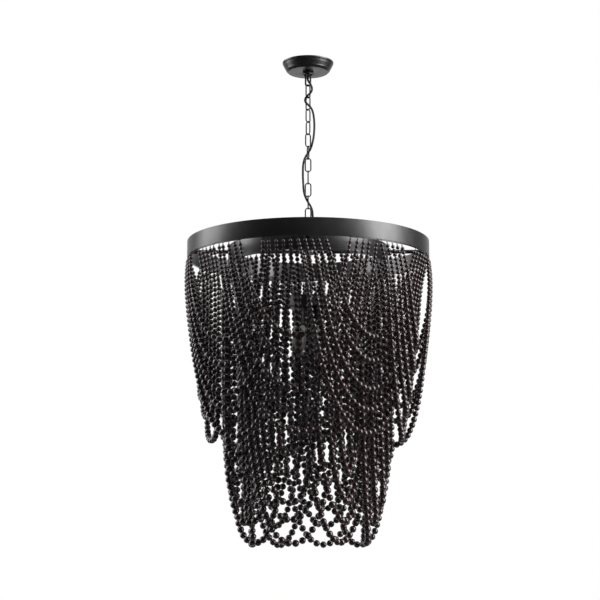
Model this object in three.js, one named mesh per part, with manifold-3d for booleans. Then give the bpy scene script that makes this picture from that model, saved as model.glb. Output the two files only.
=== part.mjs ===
// Beaded chandelier: a ceiling canopy, a twisted chain with its supply lead, two metal rings
// carried on four spokes, a cluster of four lamps and two tiers of wooden bead swags.
// Millimetres, +Z up. The origin is on the chain's axis in the plane of the ceiling, and -Y is
// the front. Angles round the axis start at the front and grow towards +X.

import * as THREE from 'three';
import { mergeVertices } from 'three/addons/utils/BufferGeometryUtils.js';
import Module from 'manifold-3d';

const wasm = await Module();
wasm.setup();

// Clearances shared by every seat and bore
const seatGap = 0.3;
const boreGap = 0.3;
const cutOverrun = 1;
const mergeDistance = 0.0001;

// Mounting bar, pressed down in the middle to make room for the nut above it
const barLength = 104;
const barWidth = 20;
const barThickness = 2.4;
const barDrop = 8;
const barMiddle = 36;
const barRamp = 9;
const slotLength = 12;
const slotWidth = 5;
const slotCentre = 40;

// M10 threaded tube with its hexagon nuts
const threadRadius = 5;
const threadBore = 3.5;
const nutAcrossFlats = 17;
const nutHeight = 5;
const thinNutHeight = 4;
const nippleBelowBar = 16.3;

// Canopy, a spun steel bowl with a stepped side
const canopyRadius = 64.5;
const canopyHeight = 25.6;
const canopyFloorRadius = 51.6;
const canopyWall = 1.2;
const canopyStep = 1.7;
const collarRadius = 14;
const collarHeight = 7.6;

// Screw loops: an arch of wire on a hollow threaded base
const loopWire = 3.4;
const loopWidth = 16.4;
const loopArchHeight = 29.4;
const loopBaseRadius = 10;
const loopWebHeight = 6;
const loopWireSink = 2;
const ceilingBaseHeight = 17;
const hubBaseHeight = 9;
const ceilingLoopAngle = -20;

// Chain
const chainLinks = 12;
const chainWire = 2.7;
const chainWidth = 16.5;
const chainPitch = 31.95;
const chainTwist = 45;
const twistHoldsToLink = 3;
const twistEndsAtLink = 8;

// Supply lead
const leadRadius = 2.7;
const leadSides = 8;
const leadSteps = 46;

// Frame: the outer ring sets the object's width, and the inner ring and its swags follow it
const outerRingRadius = 300;
const outerRingHeight = 42;
const innerRingShare = 0.6617;
const innerRingRadius = outerRingRadius * innerRingShare;
const innerRingHeight = 41;
const innerRingBelowOuter = 13;
const ringWall = 2;
const ringLip = 6;
const ringLipThickness = 1.5;
const outerRingSides = 72;
const innerRingSides = 60;
const spokeRadius = 4.8;
const spokeBelowRingTop = 22;
const spokeCount = 4;
const spokeSides = 10;
const hubRadius = 18;
const hubHeight = 12.6;

// Lamp cluster under the hub
const panBelowRingTop = 138;
const panRadius = 50;
const panHeight = 26;
const panWall = 1.2;
const coverRise = 6;
const lampCount = 4;
const lampCircle = 30;
const lampTurn = 45;
const holderRadius = 13.5;
const holderHeight = 46;
const capRadius = 6.8;
const capLength = 24;
const bulbRadius = 17.5;
const bulbLength = 78;
const finialRadius = 9;
const finialHeight = 22;
const stemBelowPan = 8;

// Bead swags. Each tier lists its strands' bottoms below the outer ring's top, longest first,
// and how far their halves bow out and in to pass the strands of the next set
const strandTopRadius = 4.8;
const strandLowRadius = 7;
const strandSides = 3;
const strandSteps = 8;
const stepCrowding = 1.7;
const neckLength = 6;
const neckRadius = 1;
const railWidth = 3;
const railThickness = 2;
const railRowGap = 1.5;
const leastBend = 9;
const weaveTurnShare = 0.13;
const weaveRamp = 60;
const upperSets = 9;
const upperPhase = 33.5;
const upperPitch = 3.2;
const upperBottoms = [493, 434, 392, 325, 270];
const upperOutwardShare = 0.04;
const upperInwardShares = [0.04, 0.04, 0.04, 0.04, 0.04];
const lowerSets = 8;
const lowerPhase = 30;
const lowerPitch = 9;
const lowerBottoms = [741, 690, 647, 581, 535];
const lowerOutward = 16.5;
const lowerInwards = [14, 17, 21.5, 21.5, 22];
const upperHangRadius = outerRingRadius - railWidth / 2;
const upperOutward = outerRingRadius * upperOutwardShare;
const upperInwards = upperInwardShares.map((share) => outerRingRadius * share);
const lowerOuterRow = innerRingRadius - railWidth / 2;
const lowerHangRadii = [lowerOuterRow, lowerOuterRow - railWidth - railRowGap];

const paintedMetal = new THREE.MeshStandardMaterial({ color: 0x3c3c3e, roughness: 0.45, metalness: 0.6 });
const plainSteel = new THREE.MeshStandardMaterial({ color: 0x9a9a98, roughness: 0.4, metalness: 0.9 });
const darkWood = new THREE.MeshStandardMaterial({ color: 0x2f2625, roughness: 0.7, metalness: 0 });
const blackPlastic = new THREE.MeshStandardMaterial({ color: 0x151515, roughness: 0.5, metalness: 0 });
const frostedGlass = new THREE.MeshStandardMaterial({ color: 0xf2efe6, roughness: 0.35, metalness: 0 });

const chandelier = new THREE.Group();

function radians(degrees) {
  return THREE.MathUtils.degToRad(degrees);
}

// The point at an angle from the front, at a radius and a height
function place(angle, radius, z) {
  return new THREE.Vector3(radius * Math.sin(radians(angle)), -radius * Math.cos(radians(angle)), z);
}

function addPiece(name, geometry, material, angle = 0, z = 0) {
  const mesh = new THREE.Mesh(geometryOf(solid(geometry)), material);
  mesh.name = name;
  mesh.rotation.z = radians(angle);
  mesh.position.z = z;
  chandelier.add(mesh);
  return mesh;
}

// A closed solid from a geometry, facing out, without the triangles that merging makes flat
function solid(geometry) {
  const bare = geometry.clone();
  bare.deleteAttribute('normal');
  bare.deleteAttribute('uv');
  const merged = mergeVertices(bare, mergeDistance);
  const corners = merged.index.array;
  const kept = [];
  for (let i = 0; i < corners.length; i += 3) {
    const [a, b, c] = corners.slice(i, i + 3);
    if (a !== b && b !== c && c !== a) {
      kept.push(a, b, c);
    }
  }
  const body = () => new wasm.Manifold(new wasm.Mesh({
    numProp: 3,
    vertProperties: new Float32Array(merged.attributes.position.array),
    triVerts: new Uint32Array(kept),
  }));
  if (body().volume() < 0) {
    kept.reverse();
  }
  return body();
}

function geometryOf(manifold) {
  const mesh = manifold.getMesh();
  const geometry = new THREE.BufferGeometry();
  geometry.setAttribute('position', new THREE.BufferAttribute(mesh.vertProperties, 3));
  geometry.setIndex(new THREE.BufferAttribute(mesh.triVerts, 1));
  geometry.computeVertexNormals();
  return geometry;
}

function joined(geometries) {
  return geometryOf(geometries.map(solid).reduce((whole, next) => whole.add(next)));
}

function cut(geometry, cutters) {
  return geometryOf(cutters.map(solid).reduce((whole, next) => whole.subtract(next), solid(geometry)));
}

// A solid of revolution from [radius, z] points
function turned(points, sides) {
  const profile = points.map(([radius, z]) => new THREE.Vector2(radius, z));
  return new THREE.LatheGeometry(profile, sides).rotateX(Math.PI / 2);
}

function tubeProfile(inner, outer, low, high) {
  return [[inner, high], [inner, low], [outer, low], [outer, high], [inner, high]];
}

// A round rod along +X or +Z, its corners at the radius
function rodAlongX(radius, from, to, z, sides) {
  const rod = new THREE.CylinderGeometry(radius, radius, to - from, sides);
  rod.rotateZ(-Math.PI / 2);
  rod.translate((from + to) / 2, 0, z);
  return rod;
}

function rodAlongZ(radius, low, high, sides) {
  const rod = new THREE.CylinderGeometry(radius, radius, high - low, sides);
  rod.rotateX(Math.PI / 2);
  rod.translate(0, 0, (low + high) / 2);
  return rod;
}

// A cutter for a bore: its flats, not its corners, lie at the radius
function boreAlongZ(radius, low, high, sides) {
  return rodAlongZ(radius / Math.cos(Math.PI / sides), low, high, sides);
}

function roundSection(radius, sides) {
  const corners = [];
  for (let i = 0; i < sides; i += 1) {
    const turn = (2 * Math.PI * i) / sides;
    corners.push(new THREE.Vector2(radius * Math.cos(turn), radius * Math.sin(turn)));
  }
  return new THREE.Shape(corners);
}

// A tube with a ring of corners across the path at each point, flat towards a direction
function tube(points, radii, sides, facing) {
  const corners = [];
  points.forEach((point, i) => {
    const before = points[Math.max(i - 1, 0)];
    const after = points[Math.min(i + 1, points.length - 1)];
    const heading = after.clone().sub(before).normalize();
    const level = new THREE.Vector3().crossVectors(heading, facing).normalize();
    const front = new THREE.Vector3().crossVectors(level, heading);
    for (let side = 0; side < sides; side += 1) {
      const turn = (2 * Math.PI * (side + 0.5)) / sides;
      const corner = point.clone().addScaledVector(front, radii[i] * Math.cos(turn));
      corners.push(corner.addScaledVector(level, radii[i] * Math.sin(turn)));
    }
  });
  const triangles = [];
  for (let start = 0; start < corners.length - sides; start += sides) {
    for (let side = 0; side < sides; side += 1) {
      const a = start + side;
      const b = start + ((side + 1) % sides);
      triangles.push(a, b, b + sides, a, b + sides, a + sides);
    }
  }
  const last = corners.length - sides;
  for (let side = 1; side < sides - 1; side += 1) {
    triangles.push(0, side + 1, side, last, last + side, last + side + 1);
  }
  return new THREE.BufferGeometry().setFromPoints(corners).setIndex(triangles);
}

function hexNut(height, bottom) {
  const corner = nutAcrossFlats / 2 / Math.cos(Math.PI / 6);
  const body = new THREE.CylinderGeometry(corner, corner, height, 6);
  body.rotateX(Math.PI / 2);
  body.translate(0, 0, bottom + height / 2);
  const bore = boreAlongZ(threadRadius + boreGap, bottom - cutOverrun, bottom + height + cutOverrun, 16);
  return cut(body, [bore]);
}

// Mounting bar
function crossbar() {
  const half = barLength / 2;
  const foot = barMiddle / 2;
  const shoulder = foot + barRamp;
  const outline = new THREE.Shape();
  outline.moveTo(-half, 0);
  outline.lineTo(-half, -barThickness);
  outline.lineTo(-shoulder, -barThickness);
  outline.lineTo(-foot, -barDrop - barThickness);
  outline.lineTo(foot, -barDrop - barThickness);
  outline.lineTo(shoulder, -barThickness);
  outline.lineTo(half, -barThickness);
  outline.lineTo(half, 0);
  outline.lineTo(shoulder, 0);
  outline.lineTo(foot, -barDrop);
  outline.lineTo(-foot, -barDrop);
  outline.lineTo(-shoulder, 0);
  outline.closePath();
  const bar = new THREE.ExtrudeGeometry(outline, { depth: barWidth, bevelEnabled: false });
  bar.rotateX(Math.PI / 2);
  bar.translate(0, barWidth / 2, 0);
  const depth = barDrop + barThickness + cutOverrun;
  const bore = boreAlongZ(threadRadius + boreGap, -depth, cutOverrun, 16);
  const slots = [-1, 1].map((side) => {
    const slot = new THREE.BoxGeometry(slotLength, slotWidth, barThickness + 2 * cutOverrun);
    slot.translate(side * slotCentre, 0, -barThickness / 2);
    return slot;
  });
  return cut(bar, [bore, ...slots]);
}

const barBottom = -barDrop - barThickness;
const nippleBottom = barBottom - nippleBelowBar;
const ceilingBaseTop = barBottom - seatGap - nutHeight - seatGap;
addPiece('crossbar', crossbar(), plainSteel);
addPiece('bar_nut_upper', hexNut(nutHeight, -barDrop + seatGap), plainSteel);
addPiece('bar_nut_lower', hexNut(nutHeight, barBottom - seatGap - nutHeight), plainSteel);
const nippleTop = -barDrop + seatGap + nutHeight;
addPiece('threaded_nipple', turned(tubeProfile(threadBore, threadRadius, nippleBottom, nippleTop), 16), plainSteel);

// Canopy and the collar that holds it up
function canopy() {
  const floor = -canopyHeight;
  const hole = loopBaseRadius + 2 * boreGap;
  const sideRadius = canopyRadius - canopyStep;
  const ridgeRadius = THREE.MathUtils.lerp(sideRadius, canopyFloorRadius, 0.6);
  const inner = canopyFloorRadius - canopyWall;
  return turned([
    [hole, floor + canopyWall], [hole, floor], [canopyFloorRadius - canopyWall, floor],
    [canopyFloorRadius, floor + canopyWall], [ridgeRadius - canopyStep, floor * 0.86],
    [ridgeRadius, floor * 0.8], [ridgeRadius, floor * 0.74], [sideRadius - canopyStep, floor * 0.4],
    [sideRadius, floor * 0.2], [canopyRadius, floor * 0.14], [canopyRadius, 0],
    [canopyRadius - canopyWall, 0], [sideRadius - canopyWall, floor * 0.2],
    [ridgeRadius - canopyWall, floor * 0.72], [inner, floor + canopyWall], [hole, floor + canopyWall],
  ], 32);
}

function collar() {
  const bore = loopBaseRadius + boreGap;
  const top = -canopyHeight - seatGap;
  const low = top - collarHeight;
  return turned([
    [bore, top], [bore, low], [collarRadius * 0.86, low], [collarRadius * 0.97, low + collarHeight * 0.3],
    [collarRadius, low + collarHeight * 0.6], [collarRadius, top], [bore, top],
  ], 24);
}

addPiece('canopy', canopy(), paintedMetal);
addPiece('canopy_collar', collar(), paintedMetal);

// Screw loop, standing on z = 0 with its arch in the XZ plane
function screwLoop(baseHeight) {
  const bore = threadRadius + boreGap;
  const step = baseHeight - loopWebHeight;
  const base = turned([
    [bore, step], [bore, 0], [loopBaseRadius, 0], [loopBaseRadius, baseHeight],
    [threadBore, baseHeight], [threadBore, step], [bore, step],
  ], 20);
  const archRadius = (loopWidth - loopWire) / 2;
  const archCentre = baseHeight + loopArchHeight - loopWidth / 2;
  const foot = baseHeight - loopWireSink;
  const bend = [0, 30, 60, 90, 120, 150, 180].map((angle) => new THREE.Vector3(
    archRadius * Math.cos(radians(angle)),
    0,
    archCentre + archRadius * Math.sin(radians(angle)),
  ));
  const feet = [1, -1].map((side) => new THREE.Vector3(side * archRadius, 0, foot));
  const path = [feet[0], ...bend, feet[1]];
  const arch = tube(path, path.map(() => loopWire / 2), 8, new THREE.Vector3(0, 1, 0));
  return joined([base, arch]);
}

const ceilingLoop = screwLoop(ceilingBaseHeight).rotateX(Math.PI);
addPiece('ceiling_loop', ceilingLoop, paintedMetal, ceilingLoopAngle, ceilingBaseTop);

// Chain: where two links touch, the wires' centres lie half a wire above and below the contact
const firstContact = ceilingBaseTop - ceilingBaseHeight - loopArchHeight + loopWire + seatGap / 2;

function contactHeight(number) {
  return firstContact - chainPitch * number;
}

function linkAngle(number) {
  const held = THREE.MathUtils.smoothstep(number, twistHoldsToLink, twistEndsAtLink);
  const turn = chainTwist * (1 - held);
  return number % 2 === 1 ? turn : turn + 90;
}

function chainLink() {
  const steps = 12;
  const bend = (chainWidth - chainWire) / 2;
  const straight = chainPitch + chainWire + seatGap - 2 * bend;
  const link = new THREE.TorusGeometry(bend, chainWire / 2, 5, steps);
  link.rotateZ(Math.PI / steps);
  const position = link.attributes.position;
  for (let i = 0; i < position.count; i += 1) {
    position.setY(i, position.getY(i) + (Math.sign(position.getY(i)) * straight) / 2);
  }
  return link.rotateX(Math.PI / 2);
}

for (let number = 1; number <= chainLinks; number += 1) {
  const middle = (contactHeight(number - 1) + contactHeight(number)) / 2;
  const name = `chain_link_${String(number).padStart(2, '0')}`;
  addPiece(name, chainLink(), paintedMetal, linkAngle(number), middle);
}

// Hub: the lower screw loop, its nut, the hub and the threaded stem that holds the lamps
const lastContact = contactHeight(chainLinks);
const hubBaseBottom = lastContact + seatGap / 2 + loopWire - loopArchHeight - hubBaseHeight;
const hubNutBottom = hubBaseBottom - seatGap - thinNutHeight;
const hubTop = hubNutBottom - seatGap;
const spokeHeight = hubTop - hubHeight / 2;
const outerRingTop = spokeHeight + spokeBelowRingTop;
const stemTop = hubBaseBottom + hubBaseHeight - loopWebHeight - seatGap;
const panTop = outerRingTop - panBelowRingTop;
const stemBottom = panTop - panHeight - stemBelowPan;

function hub() {
  const bore = threadRadius + boreGap;
  const waist = hubRadius * 0.94;
  const low = hubTop - hubHeight;
  return turned([
    [bore, hubTop], [bore, low], [waist, low], [hubRadius, low + hubHeight * 0.1],
    [hubRadius, hubTop - hubHeight * 0.1], [waist, hubTop], [bore, hubTop],
  ], 24);
}

addPiece('hub_loop', screwLoop(hubBaseHeight), paintedMetal, 0, hubBaseBottom);
addPiece('hub_nut', hexNut(thinNutHeight, hubNutBottom), paintedMetal);
addPiece('hub', hub(), paintedMetal);
addPiece('threaded_stem', turned(tubeProfile(threadBore, threadRadius, stemBottom, stemTop), 16), paintedMetal);

// Rings: a rolled band with a narrow lip turned in at its lower edge
function ringBand(radius, height, top, sides) {
  const low = top - height;
  const inner = radius - ringWall;
  const lip = inner - ringLip;
  return turned([
    [lip, low + ringLipThickness], [lip, low], [radius, low], [radius, top],
    [inner, top], [inner, low + ringLipThickness], [lip, low + ringLipThickness],
  ], sides);
}

const innerRingTop = outerRingTop - innerRingBelowOuter;
const spokeStart = hubRadius + seatGap;
const spokeEnd = (outerRingRadius - ringWall) * Math.cos(Math.PI / outerRingSides) - seatGap;
const spokeHoles = [];
addPiece('outer_ring', ringBand(outerRingRadius, outerRingHeight, outerRingTop, outerRingSides), paintedMetal);
for (let number = 0; number < spokeCount; number += 1) {
  const angle = (360 * number) / spokeCount;
  const spoke = rodAlongX(spokeRadius, spokeStart, spokeEnd, spokeHeight, spokeSides);
  addPiece(`spoke_${number + 1}`, spoke, paintedMetal, angle);
  const hole = rodAlongX(
    spokeRadius + boreGap,
    innerRingRadius - 2 * ringWall,
    innerRingRadius + ringWall,
    spokeHeight,
    spokeSides,
  );
  spokeHoles.push(hole.rotateZ(radians(angle)));
}
const innerBand = ringBand(innerRingRadius, innerRingHeight, innerRingTop, innerRingSides);
addPiece('inner_ring', cut(innerBand, spokeHoles), paintedMetal);

// Lamp cluster
const panFloor = panTop - panHeight;
const holderTop = panFloor - seatGap;
const holderBottom = holderTop - holderHeight;
const holderBoreTop = holderBottom + capLength;

function pan() {
  const bore = threadRadius + boreGap;
  const corner = panWall * 2;
  const cup = turned([
    [bore, panFloor + panWall], [bore, panFloor], [panRadius - corner, panFloor],
    [panRadius, panFloor + corner], [panRadius, panTop], [panRadius - panWall, panTop],
    [panRadius - panWall, panFloor + corner], [panRadius - corner, panFloor + panWall],
    [bore, panFloor + panWall],
  ], 28);
  const holes = [];
  for (let number = 0; number < lampCount; number += 1) {
    const hole = boreAlongZ(threadRadius + boreGap, panFloor - cutOverrun, panFloor + panWall + cutOverrun, 10);
    const centre = place(lampTurn + (360 * number) / lampCount, lampCircle, 0);
    holes.push(hole.translate(centre.x, centre.y, 0));
  }
  return cut(cup, holes);
}

function panCover() {
  const bore = threadRadius + boreGap;
  const rim = panTop + seatGap;
  const crown = nutAcrossFlats * 0.6;
  return turned([
    [bore, rim + coverRise + panWall], [bore, rim + coverRise], [crown, rim + coverRise],
    [panRadius, rim], [panRadius, rim + panWall], [crown, rim + coverRise + panWall],
    [bore, rim + coverRise + panWall],
  ], 28);
}

function finial() {
  const top = panFloor - seatGap;
  const bore = threadRadius + boreGap;
  const low = top - finialHeight;
  return turned([
    [0, stemBottom - seatGap], [bore, stemBottom - seatGap], [bore, top], [finialRadius, top],
    [finialRadius, top - finialHeight * 0.45], [finialRadius * 0.5, top - finialHeight * 0.55],
    [finialRadius * 0.75, top - finialHeight * 0.75], [finialRadius * 0.5, top - finialHeight * 0.93],
    [0, low],
  ], 16);
}

function lampHolder() {
  const spigotTop = panFloor + panWall + threadRadius;
  const mouth = capRadius + 2 * boreGap;
  return turned([
    [0, spigotTop], [threadRadius, spigotTop], [threadRadius, holderTop], [holderRadius, holderTop],
    [holderRadius, holderBottom], [mouth, holderBottom], [mouth, holderBoreTop], [0, holderBoreTop],
  ], 16);
}

function candleBulb() {
  const capTop = holderBoreTop - seatGap;
  const shoulder = holderBottom - 2 * seatGap;
  const tip = shoulder - bulbLength;
  const neck = capRadius * 1.35;
  return turned([
    [0, capTop], [capRadius * 0.5, capTop], [capRadius, capTop - capRadius * 0.5],
    [capRadius, shoulder], [neck, shoulder], [bulbRadius * 0.84, shoulder - bulbLength * 0.16],
    [bulbRadius, shoulder - bulbLength * 0.36], [bulbRadius * 0.86, shoulder - bulbLength * 0.62],
    [bulbRadius * 0.48, shoulder - bulbLength * 0.86], [0, tip],
  ], 14);
}

addPiece('pan_cover', panCover(), paintedMetal);
addPiece('pan_nut', hexNut(thinNutHeight, panTop + 2 * seatGap + coverRise + panWall), paintedMetal);
addPiece('lamp_pan', pan(), paintedMetal);
addPiece('finial', finial(), paintedMetal);
for (let number = 0; number < lampCount; number += 1) {
  const centre = place(lampTurn + (360 * number) / lampCount, lampCircle, 0);
  addPiece(`lamp_holder_${number + 1}`, lampHolder().translate(centre.x, centre.y, 0), blackPlastic);
  addPiece(`bulb_${number + 1}`, candleBulb().translate(centre.x, centre.y, 0), frostedGlass);
}

// Supply lead: down the nipple, out under the ceiling loop, woven through links 2, 6 and 10,
// then through the hub loop and down the stem to the pan
const leadPoints = [
  [0, 0, -5], [0, 0, -20], [0, 0, -33], [-0.7, -3, -41], [0, -7.5, -48.5],
  [4, -10.5, -56], [8.5, -11, -64.5], [10, -10.5, -73.5], [6.5, -12, -82], [-1, -12.5, -89.5],
  [-7, -9.5, -97], [-6.5, -5.5, -104], [0, 0, -109.5], [6.5, 5.5, -115], [11.5, 8, -124.5],
  [14.9, 6, -143], [15.8, 3, -168], [14, -1.5, -194], [10.3, -5, -213], [6, -3, -225.5],
  [0, -0.5, -235], [-5.2, -3.4, -244], [-9.3, -6, -253.5], [-12, -6, -266], [-13, -4.5, -291],
  [-12, -5.5, -319], [-10.5, -7, -337], [-6, -4.4, -351], [0, -0.5, -362], [6, -4.2, -373],
  [10, -7, -384], [11.5, -6.5, -400], [11.5, -6, -425], [9, -7, -442], [3.6, -5, -452],
  [0.3, -0.9, -460.5], [0, 0, -467], [0, 0, -500], [0, 0, -560], [0, 0, -616],
];

function supplyLead() {
  const route = new THREE.CatmullRomCurve3(leadPoints.map((point) => new THREE.Vector3(...point)), false, 'centripetal');
  return new THREE.ExtrudeGeometry(roundSection(leadRadius, leadSides), { steps: leadSteps, extrudePath: route });
}

addPiece('supply_lead', supplyLead(), blackPlastic);

// The root of a rising function, by halving the span that holds it
function rootOf(rising, low, high) {
  let [below, above] = [low, high];
  for (let i = 0; i < 60; i += 1) {
    const middle = (below + above) / 2;
    if (rising(middle) < 0) {
      below = middle;
    } else {
      above = middle;
    }
  }
  return (below + above) / 2;
}

// How deeply a catenary hangs: half its span over its least radius, which beads keep from
// closing up tighter than leastBend
function hangRatio(halfSpan, sag) {
  const free = rootOf((ratio) => (Math.cosh(ratio) - 1) / ratio - sag / halfSpan, 0.01, 20);
  if (halfSpan / free > leastBend) {
    return free;
  }
  const limit = (leastBend * sag) / halfSpan ** 2;
  return rootOf((ratio) => (Math.cosh(ratio) - 1) / ratio ** 2 - limit, 0.01, 20);
}

// One strand, hanging in the plane through its two ends. Its left half bows out and its right
// half bows in, so that it passes in front of one neighbour and behind the other
class StrandCurve extends THREE.Curve {
  constructor(centreAngle, halfAngle, ringRadius, top, bottom, bows) {
    super();
    this.bows = bows;
    this.outward = place(centreAngle, 1, 0);
    this.along = place(centreAngle + 90, 1, 0);
    this.distance = ringRadius * Math.cos(radians(halfAngle));
    this.halfSpan = ringRadius * Math.sin(radians(halfAngle));
    this.top = top;
    this.sag = top - bottom;
    this.ratio = hangRatio(this.halfSpan, this.sag);
  }

  // Steps keep their own spacing, closest at the bend
  getUtoTmapping(u) {
    return u;
  }

  getPoint(t, target = new THREE.Vector3()) {
    const side = 2 * t - 1;
    const length = Math.sinh(this.ratio) * Math.abs(side) ** stepCrowding;
    const share = (Math.sign(side) * Math.asinh(length)) / this.ratio;
    const rise = (Math.cosh(this.ratio * share) - 1) / (Math.cosh(this.ratio) - 1);
    const drop = this.sag * (1 - rise);
    const spread = share < 0 ? this.bows[0] : this.bows[1];
    const bow = -spread * Math.tanh(share / weaveTurnShare) * Math.tanh(drop / weaveRamp);
    target.set(0, 0, this.top - drop);
    target.addScaledVector(this.outward, this.distance + bow);
    return target.addScaledVector(this.along, this.halfSpan * share);
  }
}

// A rail under the ring that one end of a set's strands hangs from, bent at each strand
function rail(radius, angles, top) {
  const edge = angles.map((angle) => new THREE.Vector2(Math.sin(radians(angle)), -Math.cos(radians(angle))));
  const corners = [
    ...edge.map((point) => point.clone().multiplyScalar(radius + railWidth / 2)),
    ...edge.map((point) => point.clone().multiplyScalar(radius - railWidth / 2)).reverse(),
  ];
  const strip = new THREE.ExtrudeGeometry(new THREE.Shape(corners), { depth: railThickness, bevelEnabled: false });
  return strip.translate(0, 0, top - railThickness);
}

// A strand's tube, widest at its bottom and drawn in at both ends to a knot in the rail
function strandTube(curve, knotHeight) {
  const points = curve.getPoints(strandSteps);
  const knots = [points[0], points.at(-1)].map((point) => new THREE.Vector3(point.x, point.y, knotHeight));
  const widths = points.map((point, i) => THREE.MathUtils.lerp(
    strandLowRadius,
    strandTopRadius,
    Math.abs(2 * (i / strandSteps) - 1),
  ));
  const radii = [neckRadius, ...widths, neckRadius];
  return tube([knots[0], ...points, knots[1]], radii, strandSides, curve.outward);
}

function swagSet(centreAngle, halfAngles, ringRadius, railTop, bottoms, outward, inwards) {
  const railBottom = railTop - railThickness;
  const strandTop = railBottom - neckLength;
  const spare = THREE.MathUtils.radToDeg((2 * neckRadius) / ringRadius);
  const knots = [halfAngles[0] + spare, ...halfAngles.slice(1, -1), halfAngles.at(-1) - spare];
  const rails = [-1, 1].map((side) => rail(ringRadius, knots.map((knot) => centreAngle + side * knot), railTop));
  const strands = halfAngles.map((halfAngle, i) => {
    const bottom = outerRingTop - bottoms[i];
    const bows = [outward, inwards[i]];
    const curve = new StrandCurve(centreAngle, halfAngle, ringRadius, strandTop, bottom, bows);
    return strandTube(curve, railBottom + railThickness / 4);
  });
  return joined([...rails, ...strands]);
}

// In the upper tier each set spans from the middle of one group of strand ends to the middle
// of the next but one, so that the ends of two sets fill each group side by side
const upperPeriod = 360 / upperSets;
const upperRailTop = outerRingTop - outerRingHeight - seatGap;
const upperHalfAngles = upperBottoms.map((bottom, i) => upperPeriod - upperPitch * (i + 0.5));
for (let number = 0; number < upperSets; number += 1) {
  const angle = upperPhase + upperPeriod * number;
  const set = swagSet(
    angle, upperHalfAngles, upperHangRadius, upperRailTop, upperBottoms, upperOutward, upperInwards,
  );
  addPiece(`upper_swags_${number + 1}`, set, darkWood);
}

// In the lower tier the ends of neighbouring sets alternate, so their rails lie side by side
const lowerPeriod = 360 / lowerSets;
const lowerRailTop = innerRingTop - innerRingHeight - seatGap;
const lowerHalfAngles = lowerBottoms.map((bottom, i) => lowerPeriod - lowerPitch * (i + 0.25));
for (let number = 0; number < lowerSets; number += 1) {
  const angle = lowerPhase + lowerPeriod * number;
  const radius = lowerHangRadii[number % 2];
  const set = swagSet(
    angle, lowerHalfAngles, radius, lowerRailTop, lowerBottoms, lowerOutward, lowerInwards,
  );
  addPiece(`lower_swags_${number + 1}`, set, darkWood);
}

export default chandelier;
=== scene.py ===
import bpy
import bmesh
import numpy as np
from math import radians
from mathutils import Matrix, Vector


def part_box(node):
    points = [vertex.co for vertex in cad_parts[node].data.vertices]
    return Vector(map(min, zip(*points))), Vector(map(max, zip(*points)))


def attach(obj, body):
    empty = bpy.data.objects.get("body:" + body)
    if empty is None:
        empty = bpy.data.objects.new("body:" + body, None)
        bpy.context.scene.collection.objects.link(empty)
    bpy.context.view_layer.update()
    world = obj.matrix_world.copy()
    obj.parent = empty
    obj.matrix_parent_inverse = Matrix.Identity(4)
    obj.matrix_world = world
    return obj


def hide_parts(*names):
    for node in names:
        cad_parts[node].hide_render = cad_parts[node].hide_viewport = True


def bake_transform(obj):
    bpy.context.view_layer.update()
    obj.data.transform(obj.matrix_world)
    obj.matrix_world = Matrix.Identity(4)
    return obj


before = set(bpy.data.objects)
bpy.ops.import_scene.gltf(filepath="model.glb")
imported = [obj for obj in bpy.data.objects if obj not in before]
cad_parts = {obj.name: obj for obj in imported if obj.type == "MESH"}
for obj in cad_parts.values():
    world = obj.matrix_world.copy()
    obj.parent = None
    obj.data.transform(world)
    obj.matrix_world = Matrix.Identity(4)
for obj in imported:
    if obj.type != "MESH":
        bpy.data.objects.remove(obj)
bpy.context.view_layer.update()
print("frame loaded:", len(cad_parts), "nodes")

scene = bpy.context.scene
scene.view_settings.view_transform = "Standard"

# camera: below the rings, looking a little up, as the photograph was taken
shot = {
    "distance": 4.0, "height": -1.292, "pitch": 9.683, "turn": 0.29,
    "lens": 98.5, "film": 36, "reach": 50,
}
cameraData = bpy.data.cameras.new("shotCamera")
cameraData.lens = shot["lens"]
cameraData.sensor_width = shot["film"]
cameraData.clip_end = shot["reach"]
camera = bpy.data.objects.new("shotCamera", cameraData)
camera.location = (0, -shot["distance"], shot["height"])
camera.rotation_euler = (radians(90 + shot["pitch"]), 0, radians(shot["turn"]))
scene.collection.objects.link(camera)
scene.camera = camera
print("camera placed")


# meshes from arrays

def gridFaces(rows, columns, closeRows=False):
    # quads between neighbouring rows of a grid of points, each row closed to a ring;
    # closeRows joins the last row to the first as well
    i = np.arange(rows if closeRows else rows - 1)[:, None]
    j = np.arange(columns)[None, :]
    nextI, nextJ = (i + 1) % rows, (j + 1) % columns
    corners = [i * columns + j, i * columns + nextJ, nextI * columns + nextJ, nextI * columns + j]
    return np.stack(corners, -1).reshape(-1, 4)


def tubeFaces(rows, sides):
    # the side of a tube made of equal rings, and a cap on each of its ends
    ring = np.arange(sides)[None, :]
    return [gridFaces(rows, sides), ring[:, ::-1], ring + (rows - 1) * sides]


def triangles(faces):
    # every face as a fan of triangles
    return np.concatenate([f[:, [0, k, k + 1]] for f in faces for k in range(1, f.shape[1] - 1)])


def outward(points, faces):
    # the same faces, turned round if the volume that they enclose comes out negative
    a, b, c = (points - points.mean(0))[triangles(faces)].transpose(1, 0, 2)
    if np.einsum("ij,ij->", a, np.cross(b, c)) < 0:
        faces = [f[:, ::-1] for f in faces]
    return faces


def joined(parts):
    # several (points, faces) as one
    offset, points, faces = 0, [], []
    for partPoints, partFaces in parts:
        points.append(partPoints)
        faces += [f + offset for f in partFaces]
        offset += len(partPoints)
    return np.concatenate(points), faces


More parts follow.
